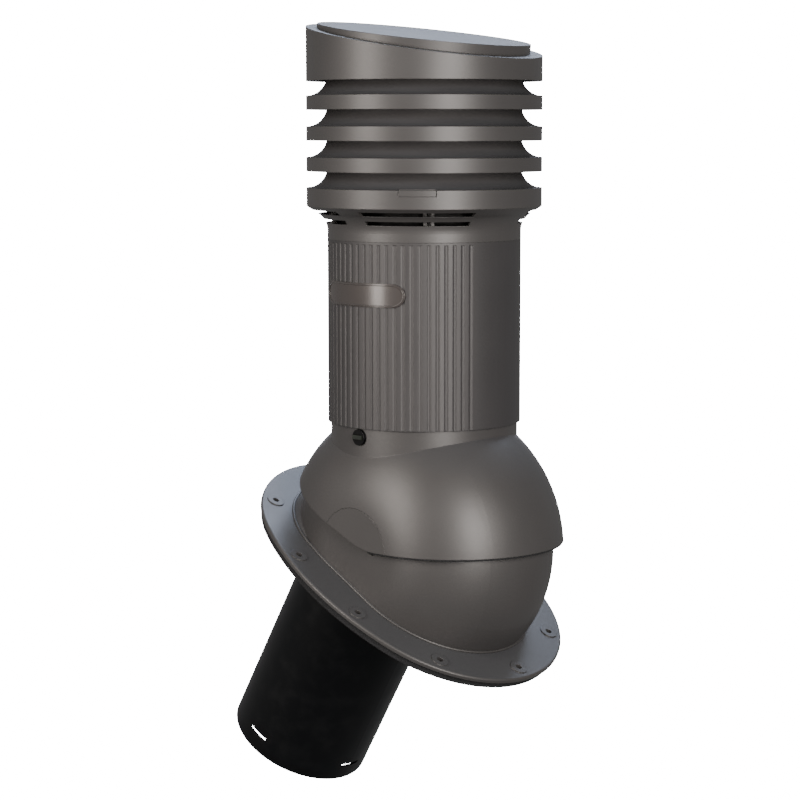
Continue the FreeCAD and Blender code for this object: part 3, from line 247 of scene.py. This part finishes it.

# %% [markdown]
# The gasket is closed-cell rubber foam, cut from a sheet. Its cut edge shows cells of about a millimetre, which a
# Voronoi pattern draws a little coarser, and it reflects almost nothing. The seal rings and the elbow are rubber of
# the same black, and hardly show, so they share the finish, and so does the bead of painted shade under the hood.

# %% Foam rubber
def foam_rubber(name, base="0b0b0c"):
    material, tree, main, place = new_material(name, Roughness=0.85, IOR=1.5, Specular_IOR_Level=0.2)
    cells = add(tree, "ShaderNodeTexVoronoi", {"Vector": place, "Scale": per_metre(1.6)}).outputs["Distance"]
    tree.links.new(shade(tree, remap(tree, cells, 0.0, 1.0, 0.1, 0.7), linear(base), linear("17181a")),
                   main.inputs["Base Color"])
    finish_surface(tree, main, cells, 0.5, 0.4, 0.8)
    return material


RUBBER = foam_rubber("foam_rubber")
print("material", RUBBER.name)

# %% [markdown]
# Screws, bolts, nuts and clamps are steel with a thin coat of bright zinc. Zinc is a bluish metal, and the coat dulls
# in patches, so the roughness varies over a few millimetres. The tie screws inside the cap get a near-black copy
# instead, as painted shade for the dark inside of the cap, so that nothing glints behind the slots.

# %% Zinc-plated steel
def zinc_plated_steel(name, base="b9bcc0", dull="8f9296"):
    material, tree, main, place = new_material(name, Metallic=1.0)
    patches = noise(tree, place, 5, 4.0)
    tree.links.new(shade(tree, patches, linear(base), linear(dull)), main.inputs["Base Color"])
    tree.links.new(remap(tree, patches, 0.22, 0.5), main.inputs["Roughness"])
    finish_surface(tree, main, noise(tree, place, 0.8), 0.15, 0.05, 0.3)
    return material


STEEL = zinc_plated_steel("zinc_plated_steel")
# Painted shade: near-black steel for the tie screws in the cap's dark inside.
CAP_SHADE_STEEL = zinc_plated_steel("steel_in_painted_shade", base="151515", dull="0c0c0c")
print("materials", STEEL.name, CAP_SHADE_STEEL.name)

# %% [markdown]
# The sleeve between shell and duct is insulation foam: coarse pale grey cells, quite matt. It only shows through the
# slots and from below, so one noise for its cells is enough.

# %% Insulation foam
def insulation_foam(name, base="4a4b4e"):
    material, tree, main, place = new_material(name, Roughness=0.95, Specular_IOR_Level=0.15)
    cells = noise(tree, place, 3, 4.0)
    tree.links.new(shade(tree, cells, linear(base), linear("2c2d30")), main.inputs["Base Color"])
    finish_surface(tree, main, cells, 0.9, 0.6, 0.5)
    return material


FOAM = insulation_foam("insulation_foam")
print("material", FOAM.name)

# %% [markdown]
# The level's vial is a smoked acrylic tube. It is polished, so it is the one piece with a sharp highlight, and so
# dark that from a distance the level reads as a plain black plug.

# %% Smoked acrylic
def smoked_acrylic(name, base="10120f"):
    material, tree, main, place = new_material(name, IOR=1.49, Coat_Weight=0.6, Coat_Roughness=0.04)
    clouds = noise(tree, place, 4)
    tree.links.new(shade(tree, clouds, linear(base), linear("1b1e19")), main.inputs["Base Color"])
    tree.links.new(remap(tree, clouds, 0.08, 0.16), main.inputs["Roughness"])
    return material


VIAL = smoked_acrylic("smoked_acrylic")
print("material", VIAL.name)

# %% [markdown]
# The record names a material slot for each piece of the frame. One table turns a slot into a finish, and a loop hands
# the finishes out. Some pieces then get a finish of their own: the polished name plate, the shell, which is extruded
# and so a little darker and duller than the moulded pieces, the lid, which rain keeps clean, and the tie screws
# inside the cap, which get a near-black copy of the steel as painted shade.

# %% Hand out the finishes
by_slot = {"grey_plastic": GREY, "black_plastic": BLACK, "rubber": RUBBER, "steel": STEEL, "insulation": FOAM,
           "vial": VIAL}
for part in frame["record"]["subparts"]:
    mesh = nodes[part["node"]].data
    mesh.materials.clear()
    mesh.materials.append(by_slot[part["material_slot"]])
nodes["name_plate"].data.materials[0] = PLATE_GREY
nodes["outer_shell"].data.materials[0] = SHELL_GREY
nodes["cap_lid"].data.materials[0] = LID_GREY
# The tie screws get the near-black steel: painted shade for the dark inside of the cap.
for name in [name for name in nodes if name.startswith("tie_screw")]:
    nodes[name].data.materials[0] = CAP_SHADE_STEEL

# %% [markdown]
# The frame has the solids, and some fine things are left to model here. Four helpers serve them. One turns a bmesh
# into a piece with a finish and a body to ride on. One works out how a round section stands at a point of a path, one
# joins such sections with bridge_loops, and one uses both to run a bead along any closed path. A curve with a bevel
# would do the same, but a bmesh keeps the finished piece a plain mesh with its place in its points.

# %% Helpers for new pieces
def finish_piece(name, shape, material, body):
    """Makes a piece of a bmesh that is in the world's axes already. Without a body it rides on nothing yet."""
    data = bpy.data.meshes.new(name)
    bmesh.ops.recalc_face_normals(shape, faces=shape.faces)
    for face in shape.faces:
        face.smooth = True
    shape.to_mesh(data)
    shape.free()
    piece = bpy.data.objects.new(name, data)
    bpy.context.scene.collection.objects.link(piece)
    data.materials.append(material)
    if body:
        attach(piece, body)
    print(name, "has", len(data.polygons), "faces")
    return piece


def place_along(point, ahead, outward):
    """The matrix that sets a flat section at a point, square to the path."""
    ahead = ahead.normalized()
    side = outward.cross(ahead).normalized()
    turned = Matrix((side, ahead.cross(side), ahead)).transposed()
    return Matrix.Translation(point) @ turned.to_4x4()


def ring_of_sections(shape, places, radius, sides=10):
    """Joins round sections, one at each place of a closed path. A place is a matrix whose Z runs along the path."""
    loops = []
    for place in places:
        made = bmesh.ops.create_circle(shape, segments=sides, radius=radius, matrix=place)
        loops.append(list({edge for vertex in made["verts"] for edge in vertex.link_edges}))
    for first, second in zip(loops, loops[1:] + loops[:1]):
        bmesh.ops.bridge_loops(shape, edges=first + second)


def bead_along(points, outwards, radius):
    """A round bead along a closed path, as a bmesh. Each section's heading runs from one neighbour to the other."""
    shape = bmesh.new()
    behind, ahead = points[-1:] + points[:-1], points[1:] + points[:1]
    places = [place_along(point, after - before, outward)
              for before, point, after, outward in zip(behind, points, ahead, outwards)]
    ring_of_sections(shape, places, radius)
    return shape


# %% [markdown]
# The name plate has a raised rim that runs round its edge. The photograph shows it as a thin line that glints where
# the plate turns towards the light. Its path is a flat pill outline seen from the front and pushed straight back onto
# the round column, so a point's sideways distance gives its angle about the column's axis. Wrapping the outline round
# the column instead would make it narrower than the plate.

# %% Rim of the name plate
plate_low, plate_high = (Vector(corner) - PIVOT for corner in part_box("name_plate"))
PLATE_FACE = -plate_low.y
PLATE_HALF_HEIGHT = (plate_high.z - plate_low.z) / 2
PLATE_MIDDLE = (plate_high.z + plate_low.z) / 2
PLATE_HALF_WIDTH = plate_high.x
RIM_INSET = 1.6 * MM
RIM_RADIUS = 0.75 * MM
RIM_STEPS = 160


def pill_point(share, half_width, half_height):
    """A point of a pill outline and its direction, a share of the way round from the lower left corner."""
    straight, arc = 2 * (half_width - half_height), math.pi * half_height
    way = share * 2 * (straight + arc)
    left = -straight / 2
    if way < straight:
        return Vector((left + way, -half_height)), Vector((1, 0))
    way -= straight
    if way < arc:
        turn = way / half_height - math.pi / 2
        return (Vector((-left + half_height * math.cos(turn), half_height * math.sin(turn))),
                Vector((-math.sin(turn), math.cos(turn))))
    way -= arc
    if way < straight:
        return Vector((-left - way, half_height)), Vector((-1, 0))
    turn = (way - straight) / half_height + math.pi / 2
    return (Vector((left + half_height * math.cos(turn), half_height * math.sin(turn))),
            Vector((-math.sin(turn), math.cos(turn))))


def on_column(flat, radius, height):
    """A flat point laid on the column's side, centred on the name plate, and the outward direction there."""
    turn = math.asin(flat.x / radius)
    outward = Vector((math.sin(turn), -math.cos(turn), 0))
    return outward * radius + Vector((0, 0, height + flat.y)), outward


rim = bmesh.new()
rim_places = []
for step in range(RIM_STEPS):
    flat, heading = pill_point(step / RIM_STEPS, PLATE_HALF_WIDTH - RIM_INSET, PLATE_HALF_HEIGHT - RIM_INSET)
    point, outward = on_column(flat, PLATE_FACE, PLATE_MIDDLE)
    ahead = Vector((-outward.y, outward.x, 0)) * heading.x / -outward.y + Vector((0, 0, heading.y))
    rim_places.append(COLUMN_AXES @ place_along(point, ahead, outward))
ring_of_sections(rim, rim_places, RIM_RADIUS)
finish_piece("name_plate_rim", rim, PLATE_GREY, "stack")

# %% [markdown]
# Behind the slots of the cap's lowest ring sits a strip of black mesh. It is painted shade: a near-black sheet that
# stands in for the shaded inside of the cap. Without it one would see through the slots to bright ground on the other
# side, while the photograph shows them dark. It is a short tube, spun from one upright line, with a wall thickness
# from a Solidify modifier, and its weave is drawn by two crossed waves. Real mesh has wires 1.2 mm apart, too fine
# for this picture, so they are drawn 2.4 mm apart.

# %% Black strip of painted shade behind the slots
# Painted shade: the near-black colours 020202 and 0a0a0a stand for the dark inside of the cap.
def slot_shade_mesh(name, base="0a0a0a"):
    material, tree, main, place = new_material(name, Roughness=0.6, Specular_IOR_Level=0.2)
    wires = [add(tree, "ShaderNodeTexWave", {"Vector": place, "Scale": per_metre(2.4) / 20},
                 bands_direction=axis).outputs["Fac"] for axis in ("DIAGONAL", "Z")]
    weave = add(tree, "ShaderNodeMath", {0: wires[0], 1: wires[1]}, operation="MAXIMUM").outputs["Value"]
    tree.links.new(shade(tree, weave, linear("020202"), linear(base)), main.inputs["Base Color"])
    finish_surface(tree, main, weave, 0.5, 0.4, 0.2)
    return material


SLOT_SHADE_BLACK = slot_shade_mesh("slot_shade_mesh")
SHADE_STRIP_RADIUS = 84 * MM
SHADE_STRIP_FOOT = 325.5 * MM
SHADE_STRIP_TOP = 350 * MM
SHADE_STRIP_STEPS = 72
SHADE_STRIP_WALL = 0.8 * MM

tube = bmesh.new()
foot = tube.verts.new((SHADE_STRIP_RADIUS, 0, SHADE_STRIP_FOOT))
top = tube.verts.new((SHADE_STRIP_RADIUS, 0, SHADE_STRIP_TOP))
line = tube.edges.new((foot, top))
bmesh.ops.spin(tube, geom=[foot, top, line], cent=(0, 0, 0), axis=(0, 0, 1), dvec=(0, 0, 0), angle=math.tau,
               steps=SHADE_STRIP_STEPS, use_merge=True)
bmesh.ops.transform(tube, matrix=COLUMN_AXES, verts=tube.verts)
shade_strip = finish_piece("slot_shade_strip", tube, SLOT_SHADE_BLACK, "stack")
wall = shade_strip.modifiers.new("wall", "SOLIDIFY")
wall.thickness = SHADE_STRIP_WALL

# %% [markdown]
# Where the bowl rises from the flange, the mould has a small rounding. It shows as a thin light line that runs round
# the bowl's foot. Its path is measured on the frame itself: a merged copy of the base is cut just above the flange,
# and the longest outline of that cut is the foot of the bowl. A round bead along it, half sunk into the corner, is
# the rounding. The cut lies 13.5 mm above the gasket's underside, half a millimetre above the flange.

# %% Rounding at the foot of the bowl
def outlines(name, axes, height):
    """The closed outlines of a node's cut at a height above a set of axes, the longest first."""
    shape = bmesh.new()
    shape.from_mesh(nodes[name].data)
    bmesh.ops.remove_doubles(shape, verts=shape.verts, dist=0.001 * MM)
    cut = bmesh.ops.bisect_plane(shape, geom=shape.verts[:] + shape.edges[:] + shape.faces[:], dist=0.001 * MM,
                                 plane_co=axes @ Vector((0, 0, height)), plane_no=axes.to_3x3() @ Vector((0, 0, 1)))
    left = {item for item in cut["geom_cut"] if isinstance(item, bmesh.types.BMEdge)}
    found = []
    while left:
        edge = left.pop()
        path = [edge.verts[0].co.copy()]
        corner = edge.verts[1]
        while edge:
            path.append(corner.co.copy())
            edge = next((near for near in corner.link_edges if near in left), None)
            if edge:
                left.discard(edge)
                corner = edge.other_vert(corner)
        found.append(path[:-1])
    shape.free()
    return sorted(found, key=lambda path: -sum((b - a).length for a, b in zip(path, path[1:])))


def even_points(path, spacing):
    """Points at even steps along a closed path."""
    corners = path + path[:1]
    ends = [0]
    for first, second in zip(corners, corners[1:]):
        ends.append(ends[-1] + (second - first).length)
    count = round(ends[-1] / spacing)
    points, k = [], 0
    for step in range(count):
        way = ends[-1] * step / count
        while ends[k + 1] < way:
            k += 1
        points.append(corners[k].lerp(corners[k + 1], (way - ends[k]) / (ends[k + 1] - ends[k])))
    return points


FOOT_CUT_HEIGHT = 13.5 * MM
FOOT_SPACING = 4 * MM
FOOT_RADIUS = 1.5 * MM

foot_points = even_points(outlines("roof_base", ROOF_AXES, FOOT_CUT_HEIGHT)[0], FOOT_SPACING)
off_roof = ROOF_AXES.to_3x3() @ Vector((0, 0, 1))
rounding = bead_along(foot_points, [off_roof] * len(foot_points), FOOT_RADIUS)
finish_piece("bowl_foot_rounding", rounding, GREY, "base")
print("foot of the bowl:", round(sum((b - a).length for a, b in zip(foot_points, foot_points[1:])), 4), "m round")

# %% [markdown]
# Under the hood's rim runs a black rubber bead. It is painted shade: a dark strip that stands in for the shadow in
# the gap between hood and bowl, and it draws the thin dark line there. The rim is a curve in space, so its place is
# measured: at each bearing about the column, a level ray goes inwards, and the lowest height at which it still meets
# the outside of the hood is the rim.

# %% Dark bead of painted shade under the hood
hood_shape = bmesh.new()
for name in [name for name in nodes if name == "hood" or name.startswith("side_cover")]:
    hood_shape.from_mesh(nodes[name].data)
hood_tree = BVHTree.FromBMesh(hood_shape)
hood_shape.free()
RAY_START = 300 * MM
SEARCH_FLOOR = -60 * MM
SEARCH_TOP = 84 * MM
SEARCH_HALVINGS = 14
SHADOW_BEAD_STEPS = 200
SHADOW_BEAD_INSET = 1.9 * MM
SHADOW_BEAD_DROP = 0.9 * MM
SHADOW_BEAD_RADIUS = 1.1 * MM


def outward_at(turn):
    """The level direction away from the column at this bearing."""
    return Vector((math.cos(turn), math.sin(turn), 0))


def hood_side(turn, height):
    """Where a level ray from outside meets the near side of the hood, or None."""
    outward = outward_at(turn)
    point, normal, _, _ = hood_tree.ray_cast(PIVOT + outward * RAY_START + Vector((0, 0, height)), -outward)
    near = point is not None and normal.dot(outward) > 0 and (point - PIVOT).dot(outward) > 0
    return point if near else None


def rim_point(turn):
    """The lowest point of the hood's near side at this bearing."""
    below, above = SEARCH_FLOOR, SEARCH_TOP
    for _ in range(SEARCH_HALVINGS):
        middle = (below + above) / 2
        if hood_side(turn, middle):
            above = middle
        else:
            below = middle
    return hood_side(turn, above)


turns = [math.tau * step / SHADOW_BEAD_STEPS for step in range(SHADOW_BEAD_STEPS)]
shadow_bead_points = [rim_point(turn) - outward_at(turn) * SHADOW_BEAD_INSET - Vector((0, 0, SHADOW_BEAD_DROP)) for turn in turns]
shadow_bead_heights = [(point - PIVOT).z / MM for point in shadow_bead_points]
print("lip from", round(min(shadow_bead_heights), 1), "to", round(max(shadow_bead_heights), 1), "mm above the tilt axis")
# Painted shade: the near-black bead draws the shadow in the gap under the hood's rim.
shadow_bead = bead_along(shadow_bead_points, [point - PIVOT for point in shadow_bead_points], SHADOW_BEAD_RADIUS)
finish_piece("hood_rim_shadow_bead", shadow_bead, RUBBER, "stack")

# %% [markdown]
# Inside the hood, a corrugated rubber elbow joins the lower duct to the upright one. It is the one piece that bends
# when the hood tilts. The solid can't bend, so a merged copy takes its place; the copy rides on no body yet and does
# not bend. The two ducts' axes cross 82 mm above the tilt axis, and the elbow's bend begins and ends 45 mm from
# there.

# %% Merged copy of the elbow
elbow = bmesh.new()
elbow.from_mesh(nodes["flex_elbow"].data)
bmesh.ops.remove_doubles(elbow, verts=elbow.verts, dist=0.001 * MM)
bellows = finish_piece("flex_elbow_bellows", elbow, RUBBER, None)
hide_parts("flex_elbow")
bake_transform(bellows)

# %% [markdown]
# The floor is one pale sheet that curves up far behind the object, so there is no horizon in view. The photograph's
# ground is pure white, yet the edges of the dark object stay dark against it. A real white sheet would brighten them
# all round. Here the sheet glows a little by itself, and its ray visibility hides it from everything but the camera.

# %% Floor
GLOW = 20.0
FLOOR_HALF = 3.0
SHEET_BEND = 1.5
SHEET_RISE = 4.0

sheet = bmesh.new()
floor_level = cad_low.z - 1 * MM
bmesh.ops.create_grid(sheet, x_segments=1, y_segments=1, size=FLOOR_HALF)
for face in sheet.faces:
    face.smooth = True
back_edge = [edge for edge in sheet.edges if all(vertex.co.y > 0 for vertex in edge.verts)]
bent = bmesh.ops.spin(sheet, geom=back_edge, cent=(0, FLOOR_HALF, SHEET_BEND), axis=(1, 0, 0), dvec=(0, 0, 0),
                      angle=math.pi / 2, steps=16, use_merge=False)
last_edges = [item for item in bent["geom_last"] if isinstance(item, bmesh.types.BMEdge)]
rising = bmesh.ops.extrude_edge_only(sheet, edges=last_edges)
risen = [item for item in rising["geom"] if isinstance(item, bmesh.types.BMVert)]
bmesh.ops.translate(sheet, vec=(0, 0, SHEET_RISE), verts=risen)
to_camera = Matrix.Translation((PIVOT.x, 0, floor_level)) @ Matrix.Rotation(AZIMUTH, 4, "Z")
bmesh.ops.transform(sheet, matrix=to_camera, verts=sheet.verts)
bmesh.ops.recalc_face_normals(sheet, faces=sheet.faces)
floor_data = bpy.data.meshes.new("floor")
sheet.to_mesh(floor_data)
sheet.free()
floor = bpy.data.objects.new("floor", floor_data)
bpy.context.scene.collection.objects.link(floor)
pale, _, pale_shader, _ = new_material("pale_sheet", Roughness=0.9, Emission_Strength=GLOW)
pale_shader.inputs["Base Color"].default_value = linear("f4f4f4")
pale_shader.inputs["Emission Color"].default_value = linear("ffffff")
floor_data.materials.append(pale)
floor.visible_diffuse = False
floor.visible_glossy = False
print("floor at", round(floor_level, 4), "m")

# %% [markdown]
# The light is the studio. Two tall soft lights give the two upright highlights on the round column, one left and one
# right of its middle. A wide cool light stands high behind the object, out of view: the lid and the open parts of the
# flange mirror it, so they look lighter and bluer than the sides, while the front of the flange mirrors the dark
# bowl. A weak light below it keeps the back from going black. A faint even light from all round fills the rest, and
# where the camera looks past the sheet it sees plain white.

# %% Lights
def soft_light(name, bearing, elevation, distance, width, height, power, colour):
    """A rectangular light that faces the middle of the object, bearing degrees right of the camera."""
    data = bpy.data.lights.new(name, "AREA")
    data.shape = "RECTANGLE"
    data.size = width
    data.size_y = height
    data.energy = power
    data.color = linear(colour)[:3]
    light = bpy.data.objects.new(name, data)
    bpy.context.scene.collection.objects.link(light)
    turn = AZIMUTH + math.radians(bearing)
    rise = math.radians(elevation)
    back = Vector((math.sin(turn) * math.cos(rise), -math.cos(turn) * math.cos(rise), math.sin(rise)))
    middle = (cad_low + cad_high) / 2
    light.location = middle + back * distance
    light.rotation_euler = back.to_track_quat("Z", "Y").to_euler()
    light.visible_camera = False
    return light


soft_light("left_strip", -54, 17, 2.4, 0.6, 1.6, 106, "fff6ee")
soft_light("right_strip", 24, 12, 2.6, 0.85, 1.6, 165, "fff8f2")
soft_light("back_panel", 166, 50, 3.0, 2.0, 1.4, 100, "dce8ff")
soft_light("back_fill", 180, 3, 3.0, 1.6, 0.6, 14, "eef2ff")

FILL_STRENGTH = 0.3
world = bpy.data.worlds.new("studio")
bpy.context.scene.world = world
world.use_nodes = True
background = world.node_tree.nodes["Background"]
background.inputs["Color"].default_value = linear("ffffff")
seen = add(world.node_tree, "ShaderNodeLightPath").outputs["Is Camera Ray"]
world.node_tree.links.new(remap(world.node_tree, seen, FILL_STRENGTH, GLOW), background.inputs["Strength"])
